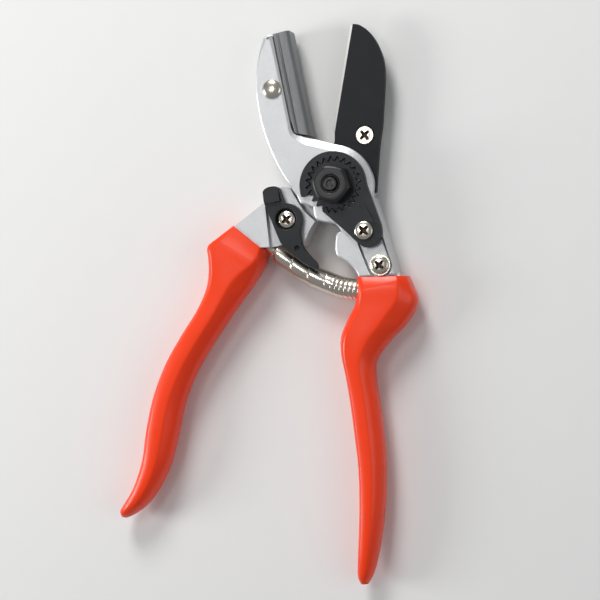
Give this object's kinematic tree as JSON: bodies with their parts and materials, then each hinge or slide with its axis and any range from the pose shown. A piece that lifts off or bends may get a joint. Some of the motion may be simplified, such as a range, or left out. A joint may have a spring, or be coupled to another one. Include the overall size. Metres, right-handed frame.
{
  "type": "pruning shears",
  "caption": "Anvil pruning shears with a straight blade, soft anvil bar, volute spring, thumb latch and vinyl grips, jaws open at rest.",
  "frame": {"origin": "on the pivot axis at the back face of the pivot bolt's head, the plane that the shears lie on", "axes": "+Z along the pivot axis towards the nut, +Y bisects the open jaws towards their tips, +X to the right seen from the nut side"},
  "size_m": [0.1172, 0.2065, 0.021],
  "materials": {
    "forged_aluminium": "satin, forged and blasted",
    "anvil_metal": "drawn bar, satin",
    "blade_coating": "matte non-stick coating with a bright ground edge",
    "black_coating": "satin black",
    "black_steel": "blackened steel",
    "nickel": "polished nickel",
    "bronze": "bearing bronze",
    "red_vinyl": "dipped vinyl, glossy"
  },
  "bodies": {
    "anvil_arm": {"anvil_arm": "forged_aluminium", "anvil": "anvil_metal", "anvil_rivet": "nickel", "right_grip": "red_vinyl", "pivot_bolt": "black_steel", "thrust_washer": "bronze", "spacer_washer": "bronze", "toothed_washer": "black_steel", "pivot_nut": "black_steel", "locking_plate": "black_coating", "locking_plate_screw": "nickel", "adjuster_bar": "forged_aluminium", "adjuster_washer": "nickel", "adjuster_screw": "nickel", "right_spring_seat": "nickel", "spring": "nickel"},
    "blade_arm": {"blade_arm": "forged_aluminium", "blade": "blade_coating", "blade_screw": "nickel", "blade_nut": "nickel", "pivot_bush": "bronze", "left_grip": "red_vinyl", "latch_washer": "nickel", "latch_screw": "nickel", "detent_plunger": "nickel", "left_spring_seat": "nickel"},
    "latch": {"latch": "black_coating"}
  },
  "joints": [
    {"name": "handles", "type": "hinge", "parent": "anvil_arm", "child": "blade_arm", "pos_m": [0, 0, 0.0076], "axis": [0, 0, 1], "range_deg": [0, 21.5], "stiffness_Nm_per_rad": 0.6, "springref_deg": -6.88, "deforming": ["spring"]},
    {"name": "latch_turn", "type": "hinge", "parent": "blade_arm", "child": "latch", "pos_m": [-0.01852, -0.01213, 0.013], "axis": [0, 0, -1], "range_deg": [0, 18]}
  ]
}
